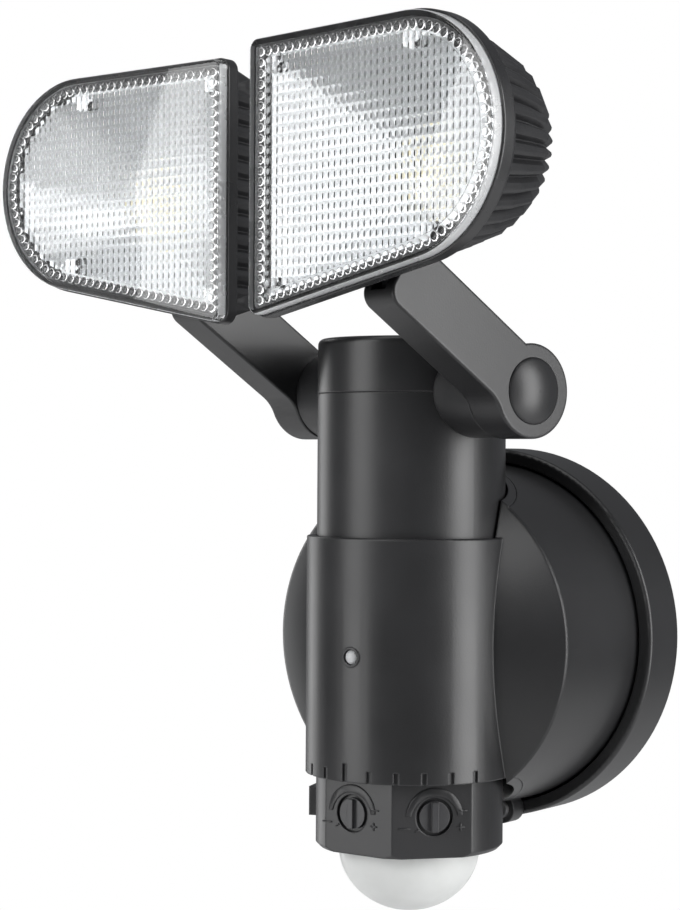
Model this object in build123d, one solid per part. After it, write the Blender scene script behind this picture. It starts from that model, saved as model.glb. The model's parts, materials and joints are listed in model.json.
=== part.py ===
from build123d import *
import os
from math import asin, cos, radians, sin, tan

# Twin-head motion sensor security light, millimetres. Origin at the centre of the wall plate's
# back face, the wall is the plane y = 0, -Y points into the garden, +Z is up.

# ---- driving dimensions ----------------------------------------------------------------------
running_gap = 0.05          # radial clearance of a shaft in its bore
seat_gap = 0.2              # clearance between fixed pieces that nest
slip_gap = 0.4              # clearance between covers that turn past each other
face_gap = 0.1              # clearance between flat faces that slide on each other

plate_radius = 60.0         # wall plate
plate_depth = 18.0
plate_floor = 3.0
plate_rim = 4.2             # width of the rim's front face
edge_round = 1.2            # rounding of the rim and of the front housing's edge
fine_round = 0.5            # rounding of the collar's and the bezels' edges
gasket_radius = 52.0
gasket_width = 3.0
gasket_depth = 1.5
wall_screw_spacing = 84.0
wall_screw_hole = 2.4       # radius
cable_hole_radius = 9.0
cable_hole_z = -30.0
cable_radius = 4.0
grommet_lip = 2.0
hook_depth = 1.8            # tongue at the top of the rear housing, in a groove of the rim
hook_height = 2.0
hook_half_angle = 8.0

cone_rear_radius = 55.5     # rear housing, tapering forward
cone_front_radius = 53.0
cone_rear_y = -6.0
cone_front_y = -58.5
housing_wall = 2.5
dome_bulge = 13.0           # how far the front housing bulges past the cone
lug_angle = -10.0           # degrees from straight down
lug_radius = 4.6
lug_depth = 6.5
lug_reach = 1.6             # lug centre outside the cone
lock_screw_radius = 1.6
lock_screw_head = 2.8
lock_screw_grip = 9.0
joint_radius = 46.5         # circle of the screws that join the two housings
joint_boss_radius = 4.0
joint_rear_y = -44.0
joint_lug_depth = 4.0
joint_screw_radius = 1.5
joint_screw_head = 2.8
joint_screw_length = 10.0

tube_axis_y = -63.5         # common vertical axis of turret, collar and sensor head
collar_wall = 2.7
collar_top = 32.6
collar_bottom = -40.5
collar_notch_step = 15.0    # degrees
collar_notch_width = 1.5
collar_notch_height = 3.6
collar_index_height = 5.5   # longer notch near the front
collar_notch_turn = -3.8
collar_notch_depth = 0.8
shelf_thickness = 3.0       # inner flange that a turning piece is clamped to
shelf_width = 6.0
seal_groove = 1.2
seal_width = 2.4
wiring_window = (28.0, 30.0)
wiring_window_z = -10.0
photocell_z = -3.0
photocell_radius = 2.2
photocell_ring = 0.8

board_half_width = 34.0     # driver board
board_half_height = 32.0
board_thickness = 1.6
board_screw_x = 30.0
board_screw_z = 28.0
board_post_radius = 3.0
board_screw_radius = 1.3
terminal_size = (36.0, 13.0, 14.0)
terminal_z = 19.0
terminal_pitch = 12.0

turret_pan = -16.5          # degrees about Z at rest
turret_radius = 29.2
turret_wall = 2.6
turret_top = 93.4
turret_bottom = 19.5
turret_floor = 3.0
cap_round = 2.0
pivot_z = 76.5              # arm pivot, on the seam between turret and cap
lip_depth = 4.0             # of the lip that the cap sits over, below the pivot
cap_screw_circle = 22.5
cap_screw_radius = 1.45
cap_screw_head = 2.8
cap_boss_radius = 3.5
retainer_circle = 16.0
retainer_thickness = 3.0
retainer_bore = 8.0
small_screw_radius = 1.4
small_screw_head = 2.7
small_head_height = 2.0
small_boss_radius = 3.6

arm_tilt = 56.0             # degrees forward of upright at rest
arm_outer_x = 55.0
arm_thickness = 13.5
arm_width = 20.0
arm_boss_radius = 14.0
arm_reach = 52.0            # pivot to knuckle pin
arm_overrun = 8.0           # arm beyond the knuckle pin
arm_end_round = 5.0
arm_fillet = 12.0
arm_edge_round = 0.8
hub_radius = 13.6
hub_neck_radius = 8.8
hub_flange_radius = 10.5
hub_flange_thickness = 2.5
spigot_radius = 7.0
bolt_radius = 2.5
bolt_head_radius = 6.0
bolt_head_height = 2.6
bolt_length = 18.0
tilt_washer_radius = 8.0
tilt_washer_thickness = 1.2
friction_radius = 11.5
friction_thickness = 1.0
counterbore_depth = 6.2
button_radius = 9.9
button_bulge = 2.6
button_plug = 1.4

fork_gap = 6.6              # slot in the arm's upper end
fork_floor = 3.0
tongue_gap = 0.25
tongue_radius = 6.4
knuckle_pin_radius = 2.0
pin_cover = 1.5             # skin of the arm's outer face over the pin
knuckle_neck = 4.5
post_radius = 3.5
post_height = 24.0
post_flange_radius = 5.5
post_flange_low = 11.2
post_flange_top = 12.6
post_groove_z = 19.0
post_groove_height = 3.6
post_groove_depth = 1.0
grub_radius = 1.5
grub_length = 4.2

swivel_right = 5.0          # degrees about the knuckle post at rest
swivel_left = 12.5
head_half_height = 39.7     # straight edge, half
head_length = 95.0
head_taper = 10.8           # degrees, lower edge
head_corner = 3.5
pin_from_edge = 32.5        # knuckle pin, measured from the straight edge
pin_behind_lens = 28.0
pin_below_middle = 30.0

lens_proud = 3.4
lens_wall = 1.8
lens_face = 2.0
lens_inset = 0.4
lens_chamfer = 0.5
bezel_depth = 4.2
bezel_overhang = 0.3
bezel_inset = 4.6
bezel_groove = 1.8
lens_gasket_thickness = 0.8
sink_profile = ((1.5, bezel_depth), (4.1, 16.0), (7.4, 26.0), (12.2, 33.0), (17.6, 37.4), (23.0, 39.8))
sink_mouth_inset = 6.6      # wider front of the hollow, for the reflector's rim
sink_mouth_y = 12.0
sink_cavity_inset = 10.5
sink_floor_y = 23.0         # face that the light engine lies on
rib_start = 3.0             # plain band in front of the ribs
rib_pitch = 5.4
rib_groove_half = 2.4       # half width of the groove between two rounded ribs
rib_groove_depth = 2.4
rib_shoulder = 0.5          # groove depth halfway down a rib's rounded side
rib_lead = 0.02             # groove depth at its edges
fin_pitch = 6.0
fin_gap = 3.2
fin_root_y = 32.0
fin_border = 3.0            # plain border of the rear face
pocket_radius = 13.5        # round hollow that the arm end turns in
pocket_wall = 2.0
pocket_slot = (11.5, 11.5)  # half width and height of the opening towards the rear
post_boss_radius = 7.5
reflector_front_y = 1.6
reflector_inset = 6.0
reflector_wall = 1.0
reflector_steps = 6
engine_u = 48.0             # light engine centre, from the straight edge
engine_width = 14.8
engine_height = 20.0
engine_margin = 4.0
chip_size = 3.4
chip_height = 0.7
chip_step = 5.2
head_screw_inset = 6.4
head_screw_radius = 1.25
head_screw_head = 2.4
head_screw_boss = 2.5
sink_boss = 3.3
head_screw_seat_y = 12.0
head_screw_head_height = 2.0
head_boss_front_y = 1.9
head_screw_tip_gap = 0.4

sensor_radius = 29.0        # sensor head below the collar
sensor_bottom = -63.2
sensor_overlap = 6.5        # height inside the collar
sensor_floor = 2.4
sensor_chamfer = 1.2
sensor_edge_angle = 23.0    # degrees, where the two flat panels meet
sensor_panel_half = 25.5    # degrees, half width of one panel
sensor_panel_floor = 2.6
sensor_screw_circle = 17.0
sensor_neck_thickness = 1.6
sensor_neck_width = 9.0
pir_radius = 21.9
pir_bottom = -83.3
pir_wall = 1.0
pir_flange = 1.4
pir_flange_thickness = 1.5
sensor_board_thickness = 1.6
pyro_radius = 4.6
pyro_height = 4.0
pyro_offset = 6.5
dial_z = -50.8
dial_shifts = (-2.4, 0.8)    # each dial beside the middle of its panel
dial_radius = 4.7
dial_recess_radius = 5.7
dial_recess_depth = 1.5
dial_shaft_radius = 1.5
dial_shaft_length = 5.0
dial_blade_width = 2.0
dial_blade_height = 1.3
trimmer_radius = 4.0
trimmer_depth = 6.0
tab_angle = -72.0
tab_width = 7.0
tab_height = 9.0
tab_reach = 2.6

# ---- places worked out from the sizes above --------------------------------------------------
axis_frame = Pos(0, tube_axis_y, 0)
turret_frame = axis_frame * Rot(0, 0, turret_pan)
pivot_frame = turret_frame * Pos(0, 0, pivot_z)
arm_middle_x = arm_outer_x - arm_thickness / 2
arm_inner_x = arm_outer_x - arm_thickness
collar_bore = turret_radius + slip_gap
collar_radius = collar_bore + collar_wall
upper_bore = collar_bore + slip_gap
upper_pocket = upper_bore + housing_wall
lower_bore = sensor_radius + tab_reach + 2 * slip_gap
lower_pocket = lower_bore + housing_wall
lower_step_z = collar_bottom + housing_wall
shelf_bore = turret_radius - shelf_width
upper_shelf = turret_bottom - seat_gap - shelf_thickness
sensor_top = collar_bottom + sensor_overlap
neck_top = sensor_top + sensor_neck_thickness
lower_shelf = neck_top + seat_gap
joint_angles = (45.0, 135.0, 225.0, 315.0)
spigot_end = arm_outer_x - counterbore_depth + face_gap
counterbore_radius = tilt_washer_radius + slip_gap


def arm_frame(side):
    return pivot_frame * Pos(side * arm_middle_x, 0, 0) * Rot(arm_tilt, 0, 0)


def knuckle_frame(side):
    return arm_frame(side) * Pos(0, 0, arm_reach) * Rot(-arm_tilt, 0, 0)


def head_frame(side):
    swivel = swivel_right if side > 0 else swivel_left
    to_corner = Pos(-side * pin_from_edge, -pin_behind_lens, pin_below_middle)
    return knuckle_frame(side) * Rot(0, 0, swivel) * to_corner


def save(name, shape):
    shape.label = name
    export_step(shape, "parts/" + name + ".step")


def cyl(radius, z_low, z_high):
    return Pos(0, 0, (z_low + z_high) / 2) * Cylinder(radius, z_high - z_low)


def ring(outer, inner, z_low, z_high):
    return cyl(outer, z_low, z_high) - cyl(inner, z_low - 1, z_high + 1)


def cyl_y(radius, y_front, y_rear, x=0.0, z=0.0):
    rod = Rot(90, 0, 0) * Cylinder(radius, y_rear - y_front)
    return Pos(x, (y_front + y_rear) / 2, z) * rod


def cyl_x(radius, x_low, x_high, y=0.0, z=0.0):
    rod = Rot(0, 90, 0) * Cylinder(radius, x_high - x_low)
    return Pos((x_low + x_high) / 2, y, z) * rod


def ring_x(outer, inner, x_low, x_high):
    return cyl_x(outer, x_low, x_high) - cyl_x(inner, x_low - 1, x_high + 1)


def block(x0, x1, y0, y1, z0, z1):
    return Pos((x0 + x1) / 2, (y0 + y1) / 2, (z0 + z1) / 2) * Box(x1 - x0, y1 - y0, z1 - z0)


def turned_y(points):
    # solid of revolution about the Y axis; points are (radius, y)
    outline = Polyline([(r, y, 0) for r, y in points], close=True)
    return revolve(make_face(outline), Axis.Y)


def around_y(angle):
    # angle from straight down, towards +X for negative angles
    return Rot(0, angle, 0)


# ---- wall base -------------------------------------------------------------------------------
rim_inner = plate_radius - plate_rim
dome_front_y = cone_front_y - dome_bulge
dome_sphere = (cone_front_radius ** 2 + dome_bulge ** 2) / (2 * dome_bulge)
lug_z = -(cone_rear_radius + lug_reach)
lug_front_y = -plate_depth - lug_depth
driver_y = tube_axis_y + lower_pocket + seat_gap
hook_slack = 0.3


def cone_solid(inset, overrun=0.0):
    return turned_y([(0, cone_rear_y + overrun), (cone_rear_radius - inset, cone_rear_y + overrun),
                     (cone_front_radius - inset, cone_front_y - overrun), (0, cone_front_y - overrun)])


def dome_solid(inset):
    ball = Pos(0, dome_front_y + dome_sphere, 0) * Sphere(dome_sphere - inset)
    return ball & cyl_y(cone_front_radius - inset, dome_front_y - 1, cone_front_y)


def hook_ring(reach, y_front, y_rear, half_angle):
    # tongue, or its groove, at the top of the rim
    band = cyl_y(cone_rear_radius + reach, y_front, y_rear) - cyl_y(cone_rear_radius - 1, y_front - 1, 0)
    half_width = cone_rear_radius * sin(radians(half_angle))
    return band & block(-half_width, half_width, y_front, y_rear, 0, plate_radius)


def wall_plate():
    body = cyl_y(plate_radius, -plate_depth, 0)
    body = fillet(body.edges().group_by(Axis.Y)[0], edge_round)
    body -= cyl_y(rim_inner, -plate_depth - 1, -plate_floor)
    body -= cyl_y(gasket_radius, -gasket_depth, 1)
    body += cyl_y(gasket_radius - gasket_width, -plate_floor, 0)
    for side in (-1, 1):
        body -= cyl_y(wall_screw_hole, -plate_floor - 1, 1, side * wall_screw_spacing / 2)
    body -= cyl_y(cable_hole_radius, -plate_floor - 1, 1, 0, cable_hole_z)
    seat = cyl_y(rim_inner + 1, cone_rear_y, -plate_floor)
    seat -= cyl_y(cone_rear_radius - housing_wall, cone_rear_y - 1, 0)
    for angle in (30, 150, 210, 330):
        body += Rot(0, angle, 0) * (seat & block(-4, 4, cone_rear_y, 0, 0, plate_radius))
    groove_depth = hook_depth + hook_slack
    body -= hook_ring(groove_depth, cone_rear_y - hook_height - hook_slack, cone_rear_y + hook_slack,
                      hook_half_angle + 1)
    lug_place = around_y(lug_angle)
    lug_core = cyl_y(lug_radius, -plate_depth, -plate_floor, 0, lug_z) & cyl_y(plate_radius, -plate_depth, 0)
    body += lug_place * lug_core
    body -= cyl_y(cone_rear_radius + seat_gap, -plate_depth - 1, cone_rear_y)
    body -= lug_place * cyl_y(lock_screw_radius, -plate_depth - 1, -plate_depth + lock_screw_grip, 0, lug_z)
    for x in (-board_screw_x, board_screw_x):
        for z in (-board_screw_z, board_screw_z):
            body += cyl_y(board_post_radius, driver_y + board_thickness, -plate_floor, x, z)
            body -= cyl_y(board_screw_radius, driver_y, driver_y + 12, x, z)
    return body


def wall_gasket():
    band = cyl_y(gasket_radius - face_gap, -gasket_depth + 0.02, 0)
    return band - cyl_y(gasket_radius - gasket_width + face_gap, -gasket_depth - 1, 1)


def cable_grommet():
    body = cyl_y(cable_hole_radius + grommet_lip, -plate_floor - grommet_lip, -plate_floor, 0, cable_hole_z)
    body += cyl_y(cable_hole_radius - running_gap, -plate_floor - 1, -seat_gap, 0, cable_hole_z)
    return body - cyl_y(cable_radius, -plate_floor - 5, 1, 0, cable_hole_z)


def joint_spots():
    return [(joint_radius * cos(radians(a)), joint_radius * sin(radians(a))) for a in joint_angles]


def rear_housing():
    body = cone_solid(0) - cone_solid(housing_wall, 1.0)
    body += hook_ring(hook_depth, cone_rear_y - hook_height, cone_rear_y, hook_half_angle)
    lug = cyl_y(lug_radius, lug_front_y, -plate_depth - seat_gap, 0, lug_z)
    lug -= cone_solid(housing_wall, 1.0)
    body += around_y(lug_angle) * lug
    body -= around_y(lug_angle) * cyl_y(lock_screw_radius + seat_gap, lug_front_y - 1, 0, 0, lug_z)
    body -= around_y(lug_angle) * cyl_y(lock_screw_head + seat_gap, cone_front_y, lug_front_y, 0, lug_z)
    for x, z in joint_spots():
        reach = 1.6 * 2 ** 0.5 / 2
        ear = cyl_y(joint_boss_radius + 1.5, joint_rear_y + seat_gap, joint_rear_y + joint_lug_depth,
                    x * (1 + reach / joint_radius), z * (1 + reach / joint_radius))
        body += ear & cone_solid(housing_wall / 2)
        hole_rear = joint_rear_y + joint_lug_depth + 1
        body -= cyl_y(joint_screw_radius + seat_gap, joint_rear_y - 1, hole_rear, x, z)
    body -= axis_frame * cyl(upper_pocket + seat_gap, -80, 80)
    body -= axis_frame * cyl(lower_pocket + seat_gap, -80, lower_step_z + seat_gap)
    return body


def lock_screw():
    body = cyl_y(lock_screw_radius - running_gap, lug_front_y, -plate_depth + lock_screw_grip - 1, 0, lug_z)
    body += cyl_y(lock_screw_head, lug_front_y - small_head_height, lug_front_y, 0, lug_z)
    body -= block(-0.5, 0.5, lug_front_y - 3, lug_front_y - 1, lug_z - 5, lug_z + 5)
    return around_y(lug_angle) * body


def front_housing():
    outside = cone_solid(0) + dome_solid(0)
    body = dome_solid(0) - dome_solid(housing_wall)
    body += (axis_frame * cyl(upper_pocket, -80, 80)) & outside
    body += (axis_frame * cyl(lower_pocket, -80, lower_step_z)) & outside
    collar = cyl(collar_radius, collar_bottom, collar_top)
    body += axis_frame * fillet(collar.edges().group_by(Axis.Z)[-1], fine_round)
    for x, z in joint_spots():
        body += cyl_y(joint_boss_radius, dome_front_y, joint_rear_y, x, z) & outside
    body -= axis_frame * cyl(collar_bore, -80, 80)
    body -= axis_frame * cyl(upper_bore, collar_top, 80)
    body -= axis_frame * cyl(lower_bore, -80, collar_bottom)
    body -= block(-50, 50, -120, tube_axis_y, collar_top, 80) & (axis_frame * cyl(upper_pocket, -80, 80))
    for z in (upper_shelf, lower_shelf):
        body += axis_frame * ring(collar_bore + 0.5, shelf_bore, z, z + shelf_thickness)
    seal_z = upper_shelf + shelf_thickness
    body -= axis_frame * ring(shelf_bore + 4, shelf_bore + 4 - seal_width, seal_z - seal_groove, seal_z + 1)
    for x, z in joint_spots():
        body -= cyl_y(joint_screw_radius, joint_rear_y - joint_screw_length, joint_rear_y + 1, x, z)
    width, height = wiring_window
    body -= block(-width / 2, width / 2, tube_axis_y + 20, tube_axis_y + 50,
                  wiring_window_z - height / 2, wiring_window_z + height / 2)
    notches = []
    for step in range(24):
        angle = step * collar_notch_step + collar_notch_turn
        if cos(radians(angle)) > 0.1:
            height = collar_notch_height if step else collar_index_height
            notch = block(-collar_notch_width / 2, collar_notch_width / 2,
                          -collar_radius - 1, -collar_radius + collar_notch_depth,
                          collar_bottom - 1, collar_bottom + height)
            notches.append(axis_frame * Rot(0, 0, angle) * notch)
    body -= notches
    front = tube_axis_y - collar_radius
    body += cyl_y(photocell_radius + photocell_ring, front - 0.4, front + 1.5, 0, photocell_z)
    body -= cyl_y(photocell_radius + face_gap, front - 2, front + 10, 0, photocell_z)
    return body


def housing_screws():
    group = []
    for x, z in joint_spots():
        rear = joint_rear_y + joint_lug_depth
        shank = cyl_y(joint_screw_radius - running_gap, joint_rear_y - joint_screw_length + 1, rear, x, z)
        head = cyl_y(joint_screw_head, rear, rear + small_head_height, x, z)
        slot = block(x - 0.4, x + 0.4, rear + 1, rear + 3, z - 1.6, z + 1.6)
        group.append(shank + head - slot)
    return Compound(children=group)


def turret_seal():
    z = upper_shelf + shelf_thickness
    outer = shelf_bore + 4 - face_gap
    return axis_frame * ring(outer, outer - seal_width + 2 * face_gap, z - seal_groove, z + seat_gap - 0.02)


def photocell_lens():
    front = tube_axis_y - collar_radius
    rod = cyl_y(photocell_radius, front + 0.4, front + 4.5, 0, photocell_z)
    dome = Pos(0, front + 1.6, photocell_z) * Sphere(photocell_radius + 0.3)
    return rod + (dome & cyl_y(photocell_radius, front - 3, front + 1, 0, photocell_z))


def photocell_board():
    front = tube_axis_y - collar_radius
    board = block(-5, 5, front + 5.6, front + 7.0, photocell_z - 7, photocell_z + 7)
    return board + cyl_y(1.6, front + 4.6, front + 5.7, 0, photocell_z)


def terminal_block():
    width, depth, height = terminal_size
    rear = -plate_floor
    body = block(-width / 2, width / 2, rear - depth, rear, terminal_z - height / 2, terminal_z + height / 2)
    for index in (-1, 0, 1):
        x = index * terminal_pitch
        body -= cyl_y(2.0, rear - depth - 1, rear - depth + 4, x, terminal_z + 3)
        body -= block(x - 2.5, x + 2.5, rear - 8, rear - 4, terminal_z - height, terminal_z)
    return body


def driver_board():
    body = block(-board_half_width, board_half_width, driver_y, driver_y + board_thickness,
                 -board_half_height, board_half_height)
    for x in (-board_screw_x, board_screw_x):
        for z in (-board_screw_z, board_screw_z):
            body -= cyl_y(board_screw_radius + seat_gap, driver_y - 1, driver_y + 3, x, z)
    return body


def board_screws():
    group = []
    for x in (-board_screw_x, board_screw_x):
        for z in (-board_screw_z, board_screw_z):
            shank = cyl_y(board_screw_radius - running_gap, driver_y, driver_y + 8, x, z)
            group.append(shank + cyl_y(small_screw_head, driver_y - 1.6, driver_y, x, z))
    return Compound(children=group)


def driver_parts():
    face = driver_y + board_thickness
    coil = block(-26, -8, face, face + 8.5, -20, -2)
    can = cyl_y(4.5, face, face + 8.5, 6, -18)
    choke = cyl_y(5.5, face, face + 7, 22, -10)
    relay = block(12, 30, face, face + 7, 2, 11)
    return Compound(children=[coil, can, choke, relay])


# ---- turret ----------------------------------------------------------------------------------
hub_hole = hub_neck_radius + seat_gap
lip_outer = turret_radius - turret_wall - face_gap
lip_inner = lip_outer - 1.5
seam_gap = 0.05


def quarter_spots(circle):
    return [Rot(0, 0, 45 + 90 * index) * Pos(circle, 0, 0) for index in range(4)]


def third_spots(circle):
    return [Rot(0, 0, 90 + 120 * index) * Pos(circle, 0, 0) for index in range(3)]


def turret_shell():
    outer = cyl(turret_radius, turret_bottom, turret_top)
    outer = fillet(outer.edges().group_by(Axis.Z)[-1], cap_round)
    shell = outer - cyl(turret_radius - turret_wall, turret_bottom + turret_floor, turret_top - turret_floor)
    return shell - cyl_x(hub_hole, -40, 40, 0, pivot_z)


def turret_tube():
    body = turret_shell() & cyl(turret_radius + 1, turret_bottom, pivot_z - seam_gap)
    lip = ring(lip_outer, lip_inner, pivot_z - lip_depth, pivot_z + 2.5)
    lip += ring(lip_outer + face_gap + 0.3, lip_inner, pivot_z - lip_depth - 3, pivot_z - lip_depth)
    for spot in quarter_spots(cap_screw_circle):
        lip += spot * cyl(cap_boss_radius, pivot_z - 16, pivot_z + 2.5)
    lip -= cyl_x(hub_flange_radius + seat_gap, -40, 40, 0, pivot_z)
    body += lip
    for spot in quarter_spots(cap_screw_circle):
        body -= spot * cyl(cap_screw_radius, pivot_z - 15, pivot_z + 5)
    body -= cyl(retainer_bore, turret_bottom - 1, turret_bottom + turret_floor + 1)
    for spot in third_spots(retainer_circle):
        body += spot * cyl(small_boss_radius, turret_bottom + 1, turret_bottom + 9)
        body -= spot * cyl(small_screw_radius + running_gap, turret_bottom - 1, turret_bottom + 8)
    return body


def turret_cap():
    body = turret_shell() & cyl(turret_radius + 1, pivot_z + seam_gap, turret_top + 1)
    for spot in quarter_spots(cap_screw_circle):
        body += spot * cyl(cap_boss_radius, pivot_z + 2.5 + seat_gap, turret_top - 1)
        body -= spot * cyl(cap_screw_radius + seat_gap, pivot_z, turret_top + 1)
        body -= spot * cyl(cap_screw_head + seat_gap, turret_top - small_head_height, turret_top + 1)
    return body


def cap_screws():
    group = []
    seat = turret_top - small_head_height
    for spot in quarter_spots(cap_screw_circle):
        screw = cyl(cap_screw_radius - running_gap, pivot_z - 12, seat)
        screw += cyl(cap_screw_head, seat, turret_top - 0.3)
        screw -= block(-2, 2, -0.4, 0.4, turret_top - 1.2, turret_top)
        group.append(spot * screw)
    return Compound(children=group)


def turret_retainer():
    top = upper_shelf - face_gap
    body = ring(turret_radius - 2, retainer_bore, top - retainer_thickness, top)
    body += ring(shelf_bore - slip_gap, retainer_bore, top - 1, turret_bottom)
    for spot in third_spots(retainer_circle):
        body -= spot * cyl(small_screw_radius + seat_gap, top - 10, turret_bottom + 1)
    return body


def retainer_screws():
    group = []
    low = upper_shelf - face_gap - retainer_thickness
    for spot in third_spots(retainer_circle):
        screw = cyl(small_screw_radius, low, turret_bottom + 7)
        screw += cyl(small_screw_head, low - small_head_height, low)
        group.append(spot * screw)
    return Compound(children=group)


def arm_hub():
    # sleeve that the arm turns on, modelled at +X
    body = cyl_x(hub_radius, 15, arm_inner_x - seat_gap)
    body -= Cylinder(turret_radius + seam_gap, 80)
    body -= ring_x(friction_radius + face_gap, spigot_radius + seat_gap,
                   arm_inner_x - seat_gap - friction_thickness, arm_inner_x)
    wall_inside = ((turret_radius - turret_wall) ** 2 - hub_flange_radius ** 2) ** 0.5 - seat_gap
    body += cyl_x(hub_neck_radius, wall_inside - 1, turret_radius + 1)
    body += cyl_x(hub_flange_radius, wall_inside - hub_flange_thickness, wall_inside)
    body += cyl_x(spigot_radius, arm_inner_x - 5, spigot_end)
    return body - cyl_x(bolt_radius, spigot_end - bolt_length - 1, spigot_end + 1)


def friction_ring():
    low = arm_inner_x - seat_gap - friction_thickness + 0.02
    return ring_x(friction_radius, spigot_radius + seat_gap + face_gap, low, arm_inner_x - face_gap)


def tilt_washer():
    return ring_x(tilt_washer_radius, bolt_radius + face_gap, spigot_end, spigot_end + tilt_washer_thickness)


def tilt_bolt():
    seat = spigot_end + tilt_washer_thickness
    head = cyl_x(bolt_head_radius, seat, seat + bolt_head_height) - cyl_x(2.4, seat + 1, seat + 5)
    return head + cyl_x(bolt_radius - running_gap, spigot_end - bolt_length, seat)


def arm(side):
    # own frame: pivot at the origin, reaching up +Z, thickness along X
    half = arm_thickness / 2
    bar = block(-half, half, -arm_width / 2, arm_width / 2, 0, arm_reach + arm_overrun)
    bar = fillet(bar.edges().filter_by(Axis.X).group_by(Axis.Z)[-1], arm_end_round)
    body = bar + cyl_x(arm_boss_radius, -half, half)
    waist_z = ((arm_boss_radius + arm_fillet) ** 2 - (arm_width / 2 + arm_fillet) ** 2) ** 0.5
    web = block(-half, half, -arm_width / 2 - arm_fillet, 0, 0, waist_z)
    web -= cyl_x(arm_fillet, -half - 1, half + 1, -arm_width / 2 - arm_fillet, waist_z)
    touch = arm_boss_radius / (arm_boss_radius + arm_fillet)
    web &= block(-half, half, -(arm_width / 2 + arm_fillet) * touch, 0, 0, waist_z)
    body += web - block(-half - 1, half + 1, -50, 0, -1, waist_z * touch)
    rims = body.faces().filter_by(Axis.X).edges()
    body = fillet(rims, arm_edge_round)
    body -= cyl_x(spigot_radius + running_gap, -half - 1, half + 1)
    low, high = sorted((side * (half - counterbore_depth), side * (half + 1)))
    body -= cyl_x(counterbore_radius, low, high)
    slot_floor = arm_reach - tongue_radius - 0.6
    body -= block(-fork_gap / 2, fork_gap / 2, -arm_width / 2 + fork_floor, arm_width,
                  slot_floor, 2 * arm_reach)
    low, high = sorted((-side * (half + 1), side * (half - pin_cover)))
    return body - cyl_x(knuckle_pin_radius + 0.01, low, high, 0, arm_reach)


def arm_button():
    # domed cover, x = 0 on the arm's outer face
    ball_radius = (button_radius ** 2 + button_bulge ** 2) / (2 * button_bulge)
    half_angle = asin(button_radius / ball_radius) / 2
    crest = (button_bulge - ball_radius + ball_radius * cos(half_angle), ball_radius * sin(half_angle))
    profile = [Line((0, 0), (0, button_radius)), ThreePointArc((0, button_radius), crest, (button_bulge, 0)),
               Line((button_bulge, 0), (0, 0))]
    dome = revolve(make_face(profile), Axis.X)
    return dome + cyl_x(counterbore_radius - running_gap, -button_plug, 0.5)


def knuckle_pin(side):
    half = arm_thickness / 2 - 0.4
    low, high = sorted((-side * half, side * (half - pin_cover)))
    return cyl_x(knuckle_pin_radius - 0.01, low, high)


def knuckle():
    half = fork_gap / 2 - tongue_gap
    body = cyl_x(tongue_radius, -half, half)
    body += block(-half, half, -knuckle_neck, knuckle_neck, 0, post_flange_low + 0.5)
    body += cyl(post_flange_radius, post_flange_low, post_flange_top)
    body += cyl(post_radius, post_flange_top - 1, post_height)
    low = post_groove_z - post_groove_height / 2
    body -= ring(post_radius + 1, post_radius - post_groove_depth, low, low + post_groove_height)
    return body - cyl_x(knuckle_pin_radius + running_gap, -half - 1, half + 1)


# ---- lamp head -------------------------------------------------------------------------------
# Head frame: x from the straight edge outwards, y rearwards from the lens seat, z up from the
# middle. The right head is modelled and the left one is its mirror image.
taper = radians(head_taper)
arc_z = head_half_height * (1 - cos(taper)) + (head_length - head_half_height) * sin(taper)
arc_z = arc_z / (1 + cos(taper) - sin(taper))
arc_radius = head_half_height - arc_z
arc_x = head_length - arc_radius
pin_spot = Pos(pin_from_edge, pin_behind_lens, -pin_below_middle)


def low_corner(inset):
    return -head_half_height + inset * (1 + sin(taper)) / cos(taper)


def arc_point(inset, angle):
    radius = arc_radius - inset
    return arc_x + radius * cos(radians(angle)), arc_z + radius * sin(radians(angle))


def head_outline(inset, y, corner):
    low = low_corner(inset)
    top = head_half_height - inset
    arc_low = arc_point(inset, head_taper - 90)
    arc_mid = arc_point(inset, head_taper / 2)
    edges = [Line((inset, y, low), (inset, y, top)), Line((inset, y, top), (arc_x, y, top)),
             ThreePointArc((arc_x, y, top), (arc_mid[0], y, arc_mid[1]), (arc_low[0], y, arc_low[1])),
             Line((arc_low[0], y, arc_low[1]), (inset, y, low))]
    face = make_face(edges)
    corners = face.vertices().group_by(Axis.X)[0]
    return fillet(corners, corner)


def head_prism(inset, y_front, y_rear, corner=None):
    round_by = max(head_corner - inset, 1.0) if corner is None else corner
    return extrude(head_outline(inset, y_front, round_by), amount=y_rear - y_front, dir=(0, 1, 0))


def screw_spots():
    inset = head_screw_inset
    return [(inset, head_half_height - inset), (inset, low_corner(inset)),
            arc_point(inset, 90), arc_point(inset, head_taper - 90)]


def clear_lens():
    rear = bezel_groove - lens_gasket_thickness
    body = head_prism(lens_inset, -lens_proud, rear)
    body = chamfer(body.faces().sort_by(Axis.Y)[0].edges(), lens_chamfer)
    return body - head_prism(lens_inset + lens_wall, -lens_proud + lens_face, rear + 1)


def lens_gasket():
    low = bezel_groove - lens_gasket_thickness
    body = head_prism(lens_inset, low, bezel_groove)
    return body - head_prism(lens_inset + lens_wall, low - 1, bezel_groove + 1)


def bezel():
    body = head_prism(-bezel_overhang, 0, bezel_depth, head_corner + bezel_overhang)
    body = fillet(body.edges().group_by(Axis.Y)[0], fine_round)
    body -= head_prism(bezel_inset, -1, bezel_depth + 1, 1.5)
    groove = head_prism(lens_inset - seat_gap, -1, bezel_groove)
    body -= groove - head_prism(lens_inset + lens_wall + seat_gap, -2, bezel_groove + 1)
    inside = head_prism(0, 0, bezel_depth)
    for x, z in screw_spots():
        body += cyl_y(head_screw_boss, head_boss_front_y, bezel_depth, x, z) & inside
        body -= cyl_y(head_screw_radius, head_boss_front_y + head_screw_tip_gap, bezel_depth + 1, x, z)
    return body


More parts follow.
